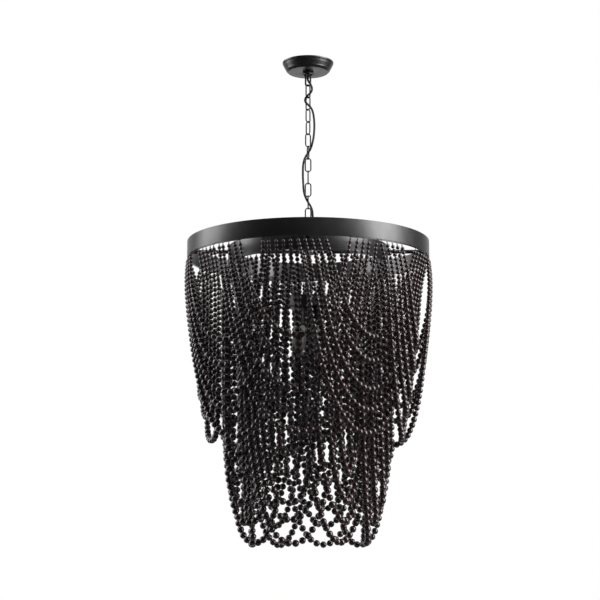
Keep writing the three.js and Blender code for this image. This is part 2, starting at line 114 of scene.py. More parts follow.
def revolve(profile, segments, centre=(0, 0)):
    # (radius, z) points carried round an upright axis; ends on the axis become poles
    profile = np.array(profile, float)
    onAxis = profile[:, 0] < 1e-9
    body = profile[~onAxis]
    turn = np.linspace(0, 2 * np.pi, segments, endpoint=False)
    r, z = body[:, 0][:, None], body[:, 1][:, None]
    points = np.stack([r * np.cos(turn), r * np.sin(turn), z + 0 * turn], -1).reshape(-1, 3)
    faces = [gridFaces(len(body), segments, closeRows=not onAxis.any())]
    j = np.arange(segments)
    for end, row in ((0, 0), (-1, len(body) - 1)):
        if onAxis[end]:
            apex = np.full(segments, len(points))
            points = np.vstack([points, [0, 0, profile[end, 1]]])
            a, b = row * segments + j, row * segments + (j + 1) % segments
            faces.append(np.stack([b, a, apex] if end == 0 else [a, b, apex], -1))
    return points + [centre[0], centre[1], 0], outward(points, faces)


def rounded(corners, radius, steps=3):
    # a closed (radius, z) outline with every corner cut to a parabola between its two sides,
    # which takes no more than 0.45 of the shorter one
    corners = np.array(corners, float)
    before, after = np.roll(corners, 1, 0), np.roll(corners, -1, 0)
    toBefore, toAfter = before - corners, after - corners
    lengths = [np.linalg.norm(d, axis=1) for d in (toBefore, toAfter)]
    cut = np.minimum(radius, 0.45 * np.minimum(*lengths))[:, None]
    start = corners + toBefore / lengths[0][:, None] * cut
    end = corners + toAfter / lengths[1][:, None] * cut
    t = np.linspace(0, 1, steps + 1)[None, :, None]
    arc = (1 - t) ** 2 * start[:, None] + 2 * t * (1 - t) * corners[:, None] + t**2 * end[:, None]
    return arc.reshape(-1, 2)


def sweep(path, radii, sides, facing, closed=False):
    # a circle carried along a path; its corners are counted from the facing direction
    path = np.array(path, float)
    if closed:
        heading = np.roll(path, -1, 0) - np.roll(path, 1, 0)
    else:
        heading = np.gradient(path, axis=0)
    heading /= np.linalg.norm(heading, axis=1)[:, None]
    level = np.cross(heading, np.broadcast_to(facing, path.shape))
    level /= np.linalg.norm(level, axis=1)[:, None]
    front = np.cross(level, heading)
    turn = np.linspace(0, 2 * np.pi, sides, endpoint=False)[None, :, None]
    r = np.broadcast_to(radii, (len(path),))[:, None, None]
    ring = path[:, None] + r * (np.cos(turn) * front[:, None] + np.sin(turn) * level[:, None])
    points = ring.reshape(-1, 3)
    faces = [gridFaces(len(path), sides, closeRows=True)] if closed else tubeFaces(len(path), sides)
    return points, outward(points, faces)


# pieces

def nodeSpan(node):
    # the heights that a solid reaches from and to
    low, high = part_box(node)
    return low.z, high.z


def declare(piece, body, replaced):
    # brings an object into the scene, with the body it rides on and the solids it stands for
    scene.collection.objects.link(piece)
    if body:
        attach(piece, body)
    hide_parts(*replaced)


def addPiece(name, parts, materials, body, replaced, sharp=40, tones=None):
    # a smooth object from a list of (points, faces), one for each material
    points, faces = joined(parts)
    mesh = bpy.data.meshes.new(name)
    mesh.vertices.add(len(points))
    mesh.vertices.foreach_set("co", points.astype(np.float32).ravel())
    corners = np.concatenate([f.ravel() for f in faces])
    sizes = np.concatenate([np.full(len(f), f.shape[1]) for f in faces])
    mesh.loops.add(len(corners))
    mesh.loops.foreach_set("vertex_index", corners.astype(np.int32))
    mesh.polygons.add(len(sizes))
    mesh.polygons.foreach_set("loop_start", (np.cumsum(sizes) - sizes).astype(np.int32))
    counts = [sum(len(f) for f in partFaces) for _, partFaces in parts]
    places = np.repeat(np.arange(len(parts)), counts)
    mesh.polygons.foreach_set("material_index", places.astype(np.int32))
    mesh.update(calc_edges=True)
    mesh.shade_smooth()
    mesh.set_sharp_from_angle(angle=radians(sharp))
    if tones is not None:
        layer = mesh.attributes.new("tone", "FLOAT", "POINT")
        layer.data.foreach_set("value", tones.astype(np.float32))
    for material in materials:
        mesh.materials.append(material)
    piece = bpy.data.objects.new(name, mesh)
    declare(piece, body, replaced)
    return piece


def addPainted(name, shape, body, node, sharp=40):
    # a charcoal piece of painted metal that stands for one solid
    addPiece(name, [shape], [charcoalPaint], body, [node], sharp)


# shader nodes

def setInputs(tree, node, inputs):
    # inputs by label or number, each a socket to link or a constant
    for key, value in inputs.items():
        if isinstance(value, bpy.types.NodeSocket):
            tree.links.new(value, node.inputs[key])
        else:
            node.inputs[key].default_value = value


def addNode(tree, kind, inputs=(), **settings):
    # a node with its settings, then its inputs
    node = tree.nodes.new(kind)
    for key, value in settings.items():
        setattr(node, key, value)
    setInputs(tree, node, dict(inputs))
    return node


def addMath(tree, operation, *values, clamp=False):
    # the result of a sum on sockets or numbers
    inputs = dict(enumerate(values))
    return addNode(tree, "ShaderNodeMath", inputs, operation=operation, use_clamp=clamp).outputs[0]


def addRange(tree, value, source=(0.0, 1.0), target=(0.0, 1.0)):
    # a value carried in proportion from one range to another, and held inside it
    return addNode(tree, "ShaderNodeMapRange", {
        "Value": value, "From Min": source[0], "From Max": source[1],
        "To Min": target[0], "To Max": target[1],
    }).outputs[0]


def addNoise(tree, place, scale, detail):
    # layered noise at a place, between 0 and 1
    inputs = {"Vector": place, "Scale": scale, "Detail": detail}
    return addNode(tree, "ShaderNodeTexNoise", inputs).outputs["Fac"]


def addBump(tree, height, strength, depth):
    # the surface's direction, tilted by the slope of a height
    inputs = {"Height": height, "Strength": strength, "Distance": depth}
    return addNode(tree, "ShaderNodeBump", inputs).outputs[0]


def mixColours(tree, share, first, second):
    # the colour at a share of the way from the first to the second
    inputs = {0: share, 6: first, 7: second}
    return addNode(tree, "ShaderNodeMix", inputs, data_type="RGBA").outputs[2]


def nodeGroup(name, inputs, outputs):
    # a group with number sockets only, and its two end nodes
    group = bpy.data.node_groups.new(name, "ShaderNodeTree")
    for label, value in inputs.items():
        socket = group.interface.new_socket(name=label, in_out="INPUT", socket_type="NodeSocketFloat")
        socket.default_value = value
    for label in outputs:
        group.interface.new_socket(name=label, in_out="OUTPUT", socket_type="NodeSocketFloat")
    return group, group.nodes.new("NodeGroupInput"), group.nodes.new("NodeGroupOutput")


def mottleGroup():
    # soft noise at two sizes: a mask for drifts in paint and dust, and a fine tooth
    look = {"broadDetail": 3.0, "fineRatio": 14.0, "fineDetail": 2.0}
    group, start, end = nodeGroup("mottle", {"Scale": 60.0, "Contrast": 2.0}, ["Mask", "Fine"])
    place = addNode(group, "ShaderNodeTexCoord").outputs["Object"]
    scale, contrast = start.outputs["Scale"], start.outputs["Contrast"]
    broad = addNoise(group, place, scale, look["broadDetail"])
    tight = addMath(group, "MULTIPLY", scale, look["fineRatio"])
    fine = addNoise(group, place, tight, look["fineDetail"])
    centred = addMath(group, "SUBTRACT", broad, 0.5)
    mask = addMath(group, "MULTIPLY_ADD", centred, contrast, 0.5, clamp=True)
    setInputs(group, end, {"Mask": mask, "Fine": fine})
    return group


def edgeGroup():
    # a mask that is bright on outer edges, from the surface's own pointiness, broken up by noise
    look = {"pointiness": (0.53, 0.62), "scale": 240.0, "detail": 3.0}
    group, start, end = nodeGroup("edgeRub", {"Amount": 1.0}, ["Mask"])
    place = addNode(group, "ShaderNodeTexCoord").outputs["Object"]
    pointed = addNode(group, "ShaderNodeNewGeometry").outputs["Pointiness"]
    edge = addRange(group, pointed, look["pointiness"])
    broken = addMath(group, "MULTIPLY", edge, addNoise(group, place, look["scale"], look["detail"]))
    mask = addMath(group, "MULTIPLY", broken, start.outputs["Amount"], clamp=True)
    setInputs(group, end, {"Mask": mask})
    return group


mottle = mottleGroup()
edgeRub = edgeGroup()


def newMaterial(name):
    # a material, its node tree and its main shader
    material = bpy.data.materials.new(name)
    material.use_nodes = True
    tree = material.node_tree
    return material, tree, tree.nodes["Principled BSDF"]


def useMottle(tree, scale, contrast):
    # the shared noise masks at a material's own size and strength
    inputs = {"Scale": scale, "Contrast": contrast}
    return addNode(tree, "ShaderNodeGroup", inputs, node_tree=mottle).outputs


# materials

plainFinish = {"contrast": 2.2, "toothDepth": 0.001, "metallic": 0.0, "specular": 0.5, "rub": 0.0}


def surfaceMaterial(name, values):
    # a finish whose colour and gloss drift a little, with rubbed edges and a fine tooth
    look = {**plainFinish, **values}
    material, tree, shader = newMaterial(name)
    spots = useMottle(tree, look["scale"], look["contrast"])
    colour = mixColours(tree, spots["Mask"], look["low"], look["high"])
    if look["rub"]:
        edges = addNode(tree, "ShaderNodeGroup", {"Amount": look["rub"]}, node_tree=edgeRub)
        colour = mixColours(tree, edges.outputs["Mask"], colour, look["rubColour"])
    setInputs(tree, shader, {
        "Base Color": colour,
        "Roughness": addRange(tree, spots["Mask"], target=look["roughness"]),
        "Normal": addBump(tree, spots["Fine"], look["bump"], look["toothDepth"]),
        "Metallic": look["metallic"],
        "Specular IOR Level": look["specular"],
    })
    return material


def beadMaterial():
    # dark stained wood: every bead has its own tone and its own run of grain, under thin dusty bloom
    look = {
        "dark": (0.0095, 0.0028, 0.0036, 1), "light": (0.038, 0.0138, 0.0162, 1),
        "bloom": (0.07, 0.043, 0.048, 1), "bloomScale": 90.0, "bloomContrast": 3.0, "bloomShare": 0.16,
        "grainScale": 260.0, "grainStretch": (1.0, 1.0, 0.22), "grainShift": 37.0,
        "grainDetail": 4.0, "grainRoughness": 0.65, "grainDistortion": 0.6, "grainLines": (0.36, 0.66),
        "lineShare": 0.55, "toneShare": 0.5, "bump": 0.25, "grainDepth": 0.0004,
        "roughness": (0.22, 0.32), "specular": 0.9, "specularTint": (1.0, 0.92, 0.94, 1),
        "coat": 0.6, "coatRoughness": 0.16,
    }
    material, tree, shader = newMaterial("stainedWood")
    tone = addNode(tree, "ShaderNodeAttribute", attribute_name="tone").outputs["Fac"]
    place = addNode(tree, "ShaderNodeTexCoord").outputs["Object"]
    stretched = addNode(tree, "ShaderNodeMapping", {"Vector": place, "Scale": look["grainStretch"]})
    grain = addNode(tree, "ShaderNodeTexNoise", {
        "Vector": stretched.outputs[0], "W": addMath(tree, "MULTIPLY", tone, look["grainShift"]),
        "Scale": look["grainScale"], "Detail": look["grainDetail"],
        "Roughness": look["grainRoughness"], "Distortion": look["grainDistortion"],
    }, noise_dimensions="4D").outputs["Fac"]
    lines = addRange(tree, grain, look["grainLines"])
    ownTone = addMath(tree, "MULTIPLY", tone, look["toneShare"])
    mixed = addMath(tree, "MULTIPLY_ADD", lines, look["lineShare"], ownTone, clamp=True)
    wood = mixColours(tree, mixed, look["dark"], look["light"])
    spots = useMottle(tree, look["bloomScale"], look["bloomContrast"])
    dusty = addMath(tree, "MULTIPLY", spots["Mask"], look["bloomShare"])
    setInputs(tree, shader, {
        "Base Color": mixColours(tree, dusty, wood, look["bloom"]),
        "Roughness": addRange(tree, mixed, target=look["roughness"]),
        "Normal": addBump(tree, lines, look["bump"], look["grainDepth"]),
        "Specular IOR Level": look["specular"],
        "Specular Tint": look["specularTint"],
        "Coat Weight": look["coat"],
        "Coat Roughness": look["coatRoughness"],
    })
    return material


def glassMaterial():
    # frosted lamp glass with faint clouds in its white
    look = {
        "low": (0.4, 0.385, 0.35, 1), "high": (0.47, 0.455, 0.42, 1), "scale": 45.0, "contrast": 1.2,
        "roughness": (0.28, 0.36), "subsurface": 0.4, "subsurfaceRadius": (0.01, 0.009, 0.008),
    }
    material, tree, shader = newMaterial("frostedGlass")
    mask = useMottle(tree, look["scale"], look["contrast"])["Mask"]
    setInputs(tree, shader, {
        "Base Color": mixColours(tree, mask, look["low"], look["high"]),
        "Roughness": addRange(tree, mask, target=look["roughness"]),
        "Subsurface Weight": look["subsurface"],
        "Subsurface Radius": look["subsurfaceRadius"],
    })
    return material


charcoalPaint = surfaceMaterial("charcoalPaint", {
    "low": (0.013, 0.013, 0.0148, 1), "high": (0.018, 0.018, 0.0202, 1), "roughness": (0.34, 0.4),
    "scale": 34.0, "bump": 0.03, "specular": 1.0, "rub": 0.15, "rubColour": (0.03, 0.03, 0.032, 1),
})
chainPaint = surfaceMaterial("chainPaint", {
    "low": (0.004, 0.004, 0.0045, 1), "high": (0.008, 0.008, 0.009, 1), "roughness": (0.42, 0.52),
    "scale": 120.0, "bump": 0.03, "specular": 0.3, "rub": 0.3, "rubColour": (0.02, 0.0195, 0.019, 1),
})
zincSteel = surfaceMaterial("zincSteel", {
    "low": (0.42, 0.42, 0.4, 1), "high": (0.6, 0.6, 0.58, 1), "roughness": (0.28, 0.42),
    "scale": 90.0, "bump": 0.04, "metallic": 1.0, "rub": 0.6, "rubColour": (0.75, 0.74, 0.7, 1),
})
capMetal = surfaceMaterial("capMetal", {
    "low": (0.55, 0.53, 0.48, 1), "high": (0.68, 0.66, 0.6, 1), "roughness": (0.24, 0.36),
    "scale": 150.0, "bump": 0.03, "metallic": 1.0,
})
holderPlastic = surfaceMaterial("holderPlastic", {
    "low": (0.02, 0.02, 0.0215, 1), "high": (0.03, 0.03, 0.032, 1), "roughness": (0.4, 0.5),
    "scale": 80.0, "bump": 0.05,
})
cableSheath = surfaceMaterial("cableSheath", {
    "low": (0.008, 0.008, 0.0085, 1), "high": (0.013, 0.013, 0.0135, 1), "roughness": (0.38, 0.5),
    "scale": 110.0, "bump": 0.04,
})
beadCord = surfaceMaterial("beadCord", {
    "low": (0.008, 0.0075, 0.007, 1), "high": (0.02, 0.018, 0.016, 1), "roughness": (0.7, 0.85),
    "scale": 300.0, "bump": 0.3,
})
stainedWood = beadMaterial()
frostedGlass = glassMaterial()
print("materials made")

# ceiling fixing and canopy

nutSizes = {
    "acrossFlats": 0.017, "washer": 1.02, "chamfer": 0.0007, "chamferSpread": 6,
    "bore": 0.0053, "flare": 1.07, "flareDepth": 0.0004, "segments": 72,
}
thread = {"outer": 0.005, "inner": 0.0035, "depth": 0.00045, "pitch": 0.001, "segments": 24}
barSizes = {"ease": 0.0005, "easeSteps": 2, "merge": 1e-5, "flatAngle": 1, "edgeAngle": 35}


def hexNut(node, n):
    # a hexagon whose corners a cone cuts at each end, with a bore that flares at its mouths
    low, high = nodeSpan(node)
    turn = np.linspace(0, 2 * np.pi, n["segments"], endpoint=False)
    flat = n["acrossFlats"] / 2
    hexagon = flat / np.cos((turn + np.pi / 6) % (np.pi / 3) - np.pi / 6)
    cone = n["chamfer"] * (hexagon / flat - 1) * n["chamferSpread"]
    bore, flare, washer = n["bore"], n["bore"] * n["flare"], flat * n["washer"]
    rows = [
        (bore, low + n["flareDepth"]), (flare, low), (washer, low), (hexagon, low + cone),
        (hexagon, high - cone), (washer, high), (flare, high), (bore, high - n["flareDepth"]),
    ]
    rings = [np.stack([r * np.sin(turn), r * np.cos(turn), z + 0 * turn], -1) for r, z in rows]
    points = np.concatenate(rings)
    return points, outward(points, [gridFaces(len(rows), n["segments"], closeRows=True)])


def threadedTube(node, t):
    # a tube whose outer radius dips in a saw between neighbouring rings, as a screw thread does
    low, high = nodeSpan(node)
    count = int((high - low) / t["pitch"]) * 2
    radii = t["outer"] - t["depth"] * (np.arange(count) % 2)
    outside = np.stack([radii, np.linspace(low, high, count)], -1)
    return revolve(np.vstack([outside, [(t["inner"], high), (t["inner"], low)]]), t["segments"])


def softenedCopy(name, node, material, body, b):
    # a copy of a plain solid with its triangles merged and its edges eased
    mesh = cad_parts[node].data.copy()
    shell = bmesh.new()
    shell.from_mesh(mesh)
    bmesh.ops.remove_doubles(shell, verts=shell.verts, dist=b["merge"])
    bmesh.ops.dissolve_limit(shell, angle_limit=radians(b["flatAngle"]), verts=shell.verts, edges=shell.edges)
    bmesh.ops.recalc_face_normals(shell, faces=shell.faces)
    shell.to_mesh(mesh)
    shell.free()
    mesh.materials.clear()
    mesh.materials.append(material)
    piece = bpy.data.objects.new(name, mesh)
    bevel = piece.modifiers.new("easedEdges", "BEVEL")
    bevel.width = b["ease"]
    bevel.segments = b["easeSteps"]
    bevel.limit_method = "ANGLE"
    bevel.angle_limit = radians(b["edgeAngle"])
    bevel.harden_normals = True
    declare(piece, body, [node])


for nut in ("bar_nut_upper", "bar_nut_lower"):
    addPiece("finished_" + nut, [hexNut(nut, nutSizes)], [zincSteel], "ceiling_fixing", [nut])
addPiece("nipple", [threadedTube("threaded_nipple", thread)], [zincSteel], "ceiling_fixing",
         ["threaded_nipple"])
softenedCopy("mountingBar", "crossbar", zincSteel, "ceiling_fixing", barSizes)

# in the canopy and the collar, heights are shares of the solid's height,
# and the collar's shares and knurl limits are of its radius
canopyCup = {
    "rimRadius": 0.0645, "sideRadius": 0.0628, "ridgeRadius": 0.0561, "floorRadius": 0.0516,
    "rimHeight": 0.86, "sideHeights": (0.6, 0.8), "ridgeHeights": (0.14, 0.2, 0.26), "innerRidge": 0.28,
    "step": 0.0017, "floorEdge": 0.0012, "wall": 0.0012, "hole": 0.0106, "round": 0.0011, "segments": 160,
}
collarRing = {
    "bore": 0.0103, "radius": 0.014, "footShare": 0.84, "swellShare": 0.95, "swellHeight": 0.22,
    "fullHeight": 0.5, "topShare": 0.97, "topEdge": 0.0006, "round": 0.0008,
    "knurls": 28, "knurlDepth": 0.00025, "knurlFrom": 0.96, "knurlFade": 0.03, "stepsPerKnurl": 6,
}


def makeCanopy(c):
    # a turned bowl: a flat floor, a low ridge, a sloping side and an upright rim, and the wall inside them
    low, top = nodeSpan("canopy")
    rim, side, ridge, floor = (c[key] for key in ("rimRadius", "sideRadius", "ridgeRadius", "floorRadius"))
    wall = c["wall"]
    ridgeFoot, ridgeStart, ridgeEnd = (low + share * (top - low) for share in c["ridgeHeights"])
    sideFoot, sideEnd = (low + share * (top - low) for share in c["sideHeights"])
    outline = rounded([
        (c["hole"], low), (floor - c["floorEdge"], low), (floor, low + c["floorEdge"]),
        (ridge - c["step"], ridgeFoot), (ridge, ridgeStart), (ridge, ridgeEnd),
        (side - c["step"], sideFoot), (side, sideEnd), (rim, low + c["rimHeight"] * (top - low)), (rim, top),
        (rim - wall, top), (side - wall, sideEnd), (ridge - wall, low + c["innerRidge"] * (top - low)),
        (floor - wall, low + wall), (c["hole"], low + wall),
    ], c["round"], steps=4)
    addPainted("canopyBowl", revolve(outline, c["segments"]), "canopy_body", "canopy", sharp=50)


def makeCollar(c):
    # a turned ring whose rim is cut by a cosine into knurls
    low, top = nodeSpan("canopy_collar")
    full = c["radius"]
    outline = rounded([
        (c["bore"], top), (c["bore"], low), (full * c["footShare"], low),
        (full * c["swellShare"], low + c["swellHeight"] * (top - low)),
        (full, low + c["fullHeight"] * (top - low)), (full, top - c["topEdge"]), (full * c["topShare"], top),
    ], c["round"])
    points, faces = revolve(outline, c["knurls"] * c["stepsPerKnurl"])
    radius = np.hypot(points[:, 0], points[:, 1])
    turn = np.arctan2(points[:, 1], points[:, 0])
    onRim = np.clip((radius - full * c["knurlFrom"]) / (full * c["knurlFade"]), 0, 1)
    cut = 1 - onRim * c["knurlDepth"] / full * (1 + np.cos(turn * c["knurls"]))
    points[:, :2] *= cut[:, None]
    addPainted("canopyCollar", (points, faces), "canopy_body", "canopy_collar", sharp=50)


makeCanopy(canopyCup)
makeCollar(collarRing)
print("canopy made")

# screw loops and chain

screwLoop = {
    "wire": 0.0034, "legSwell": 0.36, "width": 0.0164, "height": 0.0294, "sink": 0.0015,
    "arcSteps": 33, "sides": 16, "baseRadius": 0.01, "bore": 0.0035, "edgeShare": 0.97, "edge": 0.0012,
    "endShare": 0.8, "endEdge": 0.003, "round": 0.0008, "segments": 64, "ceilingTurn": -20, "hubTurn": 0,
}
chain = {
    "links": 12, "wire": 0.0027, "sideSwell": 0.22, "weldSwell": 0.07, "weldLength": 0.0016,
    "width": 0.0165, "twist": 45, "twistFrom": 3, "twistTo": 8, "arcSteps": 25, "sideSteps": 7, "sides": 14,
}


def makeScrewLoop(name, node, body, way, turn, s):
    # a turned base with a half circle of wire on two straight legs, which are stouter than the bow;
    # way is 1 for a loop that stands and -1 for one that hangs
    low, high = nodeSpan(node)
    size = high - low - s["height"]
    foot = low if way > 0 else high
    baseEnd = foot + way * size
    full = s["baseRadius"]
    base = revolve(rounded([
        (s["bore"], foot), (full * s["edgeShare"], foot), (full, foot + way * s["edge"]),
        (full, baseEnd - way * s["endEdge"]), (full * s["endShare"], baseEnd), (s["bore"], baseEnd),
    ], s["round"]), s["segments"])
    bend = (s["width"] - s["wire"]) / 2
    centre = foot + way * (size + s["height"] - s["width"] / 2)
    arc = np.linspace(0, np.pi, s["arcSteps"])
    leg = [baseEnd - way * s["sink"], (baseEnd + centre) / 2]
    across = np.concatenate([[bend, bend], bend * np.cos(arc), [-bend, -bend]])
    rise = np.concatenate([leg, centre + way * bend * np.sin(arc), leg[::-1]])
    plane = radians(turn)
    path = np.stack([across * np.cos(plane), across * np.sin(plane), rise], -1)
    stout = 1 + s["legSwell"] * (across / bend) ** 2
    wire = sweep(path, s["wire"] / 2 * stout, s["sides"], (-np.sin(plane), np.cos(plane), 0))
    addPainted(name, joined([base, wire]), body, node)


def linkAngle(number, c):
    # neighbouring links lie square to each other, and the whole chain untwists smoothly on its way down
    t = np.clip((number - c["twistFrom"]) / (c["twistTo"] - c["twistFrom"]), 0, 1)
    turn = c["twist"] * (1 - t * t * (3 - 2 * t))
    return radians(turn if number % 2 else turn + 90)


def makeLink(number, c):
    # wire bent to two half circles and two straights, stouter along the straights and at the weld
    node = f"chain_link_{number:02d}"
    low, high = nodeSpan(node)
    bend = (c["width"] - c["wire"]) / 2
    straight = (high - low) / 2 - c["wire"] / 2 - bend
    arc = np.linspace(-np.pi / 2, np.pi / 2, c["arcSteps"])
    side = np.linspace(-straight, straight, c["sideSteps"] + 2)[1:-1]
    edge = np.full(len(side), bend)
    across = np.concatenate([bend * np.sin(arc), edge, -bend * np.sin(arc), -edge])
    along = np.concatenate([straight + bend * np.cos(arc), side[::-1], -straight - bend * np.cos(arc), side])
    weld = np.exp(-((along / c["weldLength"]) ** 2)) * (across > 0)
    angle = linkAngle(number, c)
    path = np.stack([across * np.cos(angle), across * np.sin(angle), (low + high) / 2 + along], -1)
    stout = 1 + c["sideSwell"] * (across / bend) ** 4 + c["weldSwell"] * weld
    facing = (-np.sin(angle), np.cos(angle), 0)
    shape = sweep(path, c["wire"] / 2 * stout, c["sides"], facing, closed=True)
    addPiece(f"chainLink_{number:02d}", [shape], [chainPaint], f"link_{number:02d}", [node])


makeScrewLoop("ceilingLoop", "ceiling_loop", "ceiling_fixing", -1, screwLoop["ceilingTurn"], screwLoop)
makeScrewLoop("hubLoop", "hub_loop", "frame_body", 1, screwLoop["hubTurn"], screwLoop)
for linkNumber in range(1, chain["links"] + 1):
    makeLink(linkNumber, chain)
print("chain made")

# supply lead: its route is in millimetres from the ceiling

lead = {
    "radius": 0.0027, "sides": 16, "steps": 12, "topBend": -0.045, "footBend": -0.46,
    "route": [
        (0, 0, -5), (0, 0, -20), (0, 0, -33), (-0.7, -3, -41), (0, -7.5, -48.5),
        (4, -10.5, -56), (8.5, -11, -64.5), (10, -10.5, -73.5), (6.5, -12, -82), (-1, -12.5, -89.5),
        (-7, -9.5, -97), (-6.5, -5.5, -104), (0, 0, -109.5), (6.5, 5.5, -115), (11.5, 8, -124.5),
        (14.9, 6, -143), (15.8, 3, -168), (14, -1.5, -194), (10.3, -5, -213), (6, -3, -225.5),
        (0, -0.5, -235), (-5.2, -3.4, -244), (-9.3, -6, -253.5), (-12, -6, -266), (-13, -4.5, -291),
        (-12, -5.5, -319), (-10.5, -7, -337), (-6, -4.4, -351), (0, -0.5, -362), (6, -4.2, -373),
        (10, -7, -384), (11.5, -6.5, -400), (11.5, -6, -425), (9, -7, -442), (3.6, -5, -452),
        (0.3, -0.9, -460.5), (0, 0, -467), (0, 0, -500), (0, 0, -560), (0, 0, -616),
    ],
}


def smoothRoute(points, steps):
    # a centripetal spline through the points: each span is mixed from its four neighbours' lines
    p = np.array(points, float) / 1000
    p = np.vstack([2 * p[0] - p[1], p, 2 * p[-1] - p[-2]])
    gap = np.sqrt(np.linalg.norm(np.diff(p, axis=0), axis=1))
    knots = np.concatenate([[0], np.cumsum(gap)])[:, None]
    a, b, c, d = p[:-3], p[1:-2], p[2:-1], p[3:]
    ka, kb, kc, kd = knots[:-3], knots[1:-2], knots[2:-1], knots[3:]
    rows = []
    for share in np.linspace(0, 1, steps, endpoint=False):
        t = kb + (kc - kb) * share
        ab = (kb - t) / (kb - ka) * a + (t - ka) / (kb - ka) * b
        bc = (kc - t) / (kc - kb) * b + (t - kb) / (kc - kb) * c
        cd = (kd - t) / (kd - kc) * c + (t - kc) / (kd - kc) * d
        abc = (kc - t) / (kc - ka) * ab + (t - ka) / (kc - ka) * bc
        bcd = (kd - t) / (kd - kb) * bc + (t - kb) / (kd - kb) * cd
        rows.append((kc - t) / (kc - kb) * abc + (t - kb) / (kc - kb) * bcd)
    return np.vstack([np.stack(rows, 1).reshape(-1, 3), p[-2]])


def makeLead(v):
    # a tube along the route, cut at the middle of each link into lengths, each running from one body to the
    # next
    route = smoothRoute(v["route"], v["steps"])
    numbers = range(1, chain["links"] + 1)
    bodies = ["ceiling_fixing"] + [f"link_{n:02d}" for n in numbers] + ["frame_body"]
    middles = [sum(nodeSpan(f"chain_link_{n:02d}")) / 2 for n in numbers]
    ends = [route[0, 2]] + middles + [route[-1, 2]]
    points, _ = sweep(route, v["radius"], v["sides"], (1, 0, 0))
    rings = points.reshape(-1, v["sides"], 3)
    cuts = [int(np.argmin(np.abs(route[:, 2] - z))) for z in ends]
    for k in range(len(bodies) - 1):
        part = rings[cuts[k]:cuts[k + 1] + 1]
        shell = part.reshape(-1, 3)
        faces = outward(shell, tubeFaces(len(part), v["sides"]))
        piece = addPiece(f"supplyLead_{k + 1:02d}", [(shell, faces)], [cableSheath], None,
                         ["supply_lead"], sharp=60)
        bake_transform(piece)


makeLead(lead)
print("lead made")

# frame: rings, spokes, hub and the lamp stem

band = {"wall": 0.002, "lip": 0.006, "lipThickness": 0.0015, "round": 0.0006, "segments": 288}
spoke = {
    "count": 4, "radius": 0.0048, "ends": (0, 0.0006, 0.0012), "endShares": (0.88, 0.97, 1), "sides": 28,
    "washer": 0.0075, "washerSteps": (0, 0.0003, 0.0013, 0.0016), "washerShares": (0.93, 1, 1, 0.95),
}
hub = {"bore": 0.0053, "radius": 0.018, "endRadius": 0.0169, "edge": 0.0013, "round": 0.0007, "segments": 72}


def makeRing(name, node, b):
    # an upright band turned from a thin wall, with a lip that points in at its foot
    low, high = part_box(node)
    radius, bottom, top = high.x, low.z, high.z
    inner = radius - b["wall"]
    lip, lipTop = inner - b["lip"], bottom + b["lipThickness"]
    outline = rounded([
        (lip, lipTop), (lip, bottom), (radius, bottom), (radius, top), (inner, top), (inner, lipTop),
    ], b["round"])
    addPainted(name, revolve(outline, b["segments"]), "frame_body", node)


def makeSpoke(number, s):
    # a rod with eased ends and a washer on its outer end
    node = f"spoke_{number}"
    low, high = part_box(node)
    turn = 2 * np.pi / s["count"] * (number - 1)
    way = np.array([np.cos(turn), np.sin(turn), 0])
    level = [0, 0, (low.z + high.z) / 2]
    start, end = sorted(abs(v) for corner in (low, high) for v in corner[:2])[2:]
    length, ends = end - start, np.array(s["ends"])
    steps = np.concatenate([ends, [length / 2], length - ends[::-1]])
    radii = s["radius"] * np.array([*s["endShares"], 1, *s["endShares"][::-1]])
    rod = sweep(way * (start + steps)[:, None] + level, radii, s["sides"], (0, 0, 1))
    seat = end - s["washerSteps"][-1] + np.array(s["washerSteps"])
    radii = s["washer"] * np.array(s["washerShares"])
    washer = sweep(way * seat[:, None] + level, radii, s["sides"], (0, 0, 1))
    addPainted(f"finishedSpoke_{number}", joined([rod, washer]), "frame_body", node)


def makeHub(h):
    # a plain turned boss with chamfered ends
    low, top = nodeSpan("hub")
    outline = rounded([
        (h["bore"], top), (h["bore"], low), (h["endRadius"], low), (h["radius"], low + h["edge"]),
        (h["radius"], top - h["edge"]), (h["endRadius"], top),
    ], h["round"])
    addPainted("hubBoss", revolve(outline, h["segments"]), "frame_body", "hub")


makeRing("outerBand", "outer_ring", band)
makeRing("innerBand", "inner_ring", band)
for spokeNumber in range(1, spoke["count"] + 1):
    makeSpoke(spokeNumber, spoke)
makeHub(hub)
for nut in ("hub_nut", "pan_nut"):
    addPainted("finished_" + nut, hexNut(nut, nutSizes), "frame_body", nut)
addPainted("lampStem", threadedTube("threaded_stem", thread), "frame_body", "threaded_stem")
print("frame made")

# lamps

lamps = {"count": 4, "circle": 0.03, "turn": 45}
pan = {
    "radius": 0.05, "bore": 0.0053, "wall": 0.0012, "edge": 0.0024, "innerEdge": 0.003, "round": 0.001,
    "lidRise": 0.0102, "lidRound": 0.0008, "segments": 96,
}
finial = {
    "tip": 0.003, "neck": 0.0045, "swell": 0.0025, "swellFrom": 0.05, "swellLength": 0.5,
    "collar": 0.009, "collarStep": 0.0035, "collarFrom": 0.56, "collarEase": 0.05,
    "bore": 0.0053, "boreDepth": 0.008, "steps": 40, "segments": 48,
}
holder = {
    "radius": 0.0135, "edge": 0.001, "neck": 0.005, "neckEdge": 0.0005, "panGap": 0.0003,
    "ribs": 25, "ribDepth": 0.0004, "ribStart": 0.006, "ribEnd": 0.008,
    "capGap": 0.0006, "mouthEdge": 0.0008, "depth": 0.024, "segments": 40,
}
bulb = {
    "radius": 0.0175, "length": 0.078, "start": 0.16, "lean": 0.8, "fullness": 0.85, "taper": 0.12,
    "overlap": 0.0002, "steps": 36, "segments": 48,
}
